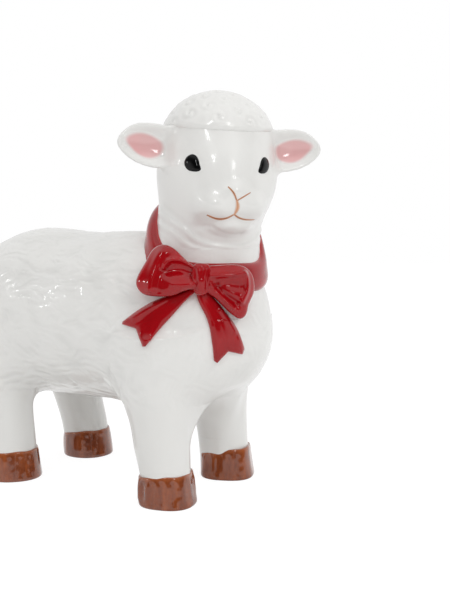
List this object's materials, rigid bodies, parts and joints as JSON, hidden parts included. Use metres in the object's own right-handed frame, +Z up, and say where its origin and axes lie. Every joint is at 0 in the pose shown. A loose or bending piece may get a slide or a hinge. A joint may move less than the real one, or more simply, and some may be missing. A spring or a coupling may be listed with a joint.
{
  "type": "lamb figurine",
  "caption": "Glazed ceramic lamb ornament standing with its head turned, a ribbon and bow round its neck, for a shelf or table.",
  "frame": {"origin": "on the ground at the middle of the whole ornament's box", "axes": "+Z up, the lamb's body faces -Y, its own left is +X"},
  "size_m": [0.1146, 0.2524, 0.2365],
  "materials": {
    "white_glaze": "glossy clear glaze over white, fine carved fleece strokes on the wool",
    "brown_glaze": "glossy streaked chestnut glaze with a thin orange upper edge",
    "red_glaze": "deep glossy red glaze, pooled darker in the folds",
    "pink_glaze": "soft pink under clear glaze",
    "black_glaze": "glossy black",
    "line_glaze": "thin reddish brown line under clear glaze"
  },
  "bodies": {
    "root": {"torso_shell": "white_glaze", "neck_shell": "white_glaze", "head_shell": "white_glaze", "wool_cap": "white_glaze", "ear_left": "white_glaze", "ear_right": "white_glaze", "tail": "white_glaze", "leg_front_left": "white_glaze", "leg_front_right": "white_glaze", "leg_rear_left": "white_glaze", "leg_rear_right": "white_glaze", "hoof_front_left": "brown_glaze", "hoof_front_right": "brown_glaze", "hoof_rear_left": "brown_glaze", "hoof_rear_right": "brown_glaze", "neck_ribbon": "red_glaze", "bow_knot": "red_glaze", "bow_loop_rear": "red_glaze", "bow_loop_front": "red_glaze", "ribbon_end_rear": "red_glaze", "ribbon_end_front": "red_glaze", "ear_lining_left": "pink_glaze", "ear_lining_right": "pink_glaze", "eye_left": "black_glaze", "eye_right": "black_glaze", "nose_and_mouth": "line_glaze"}
  },
  "joints": []
}
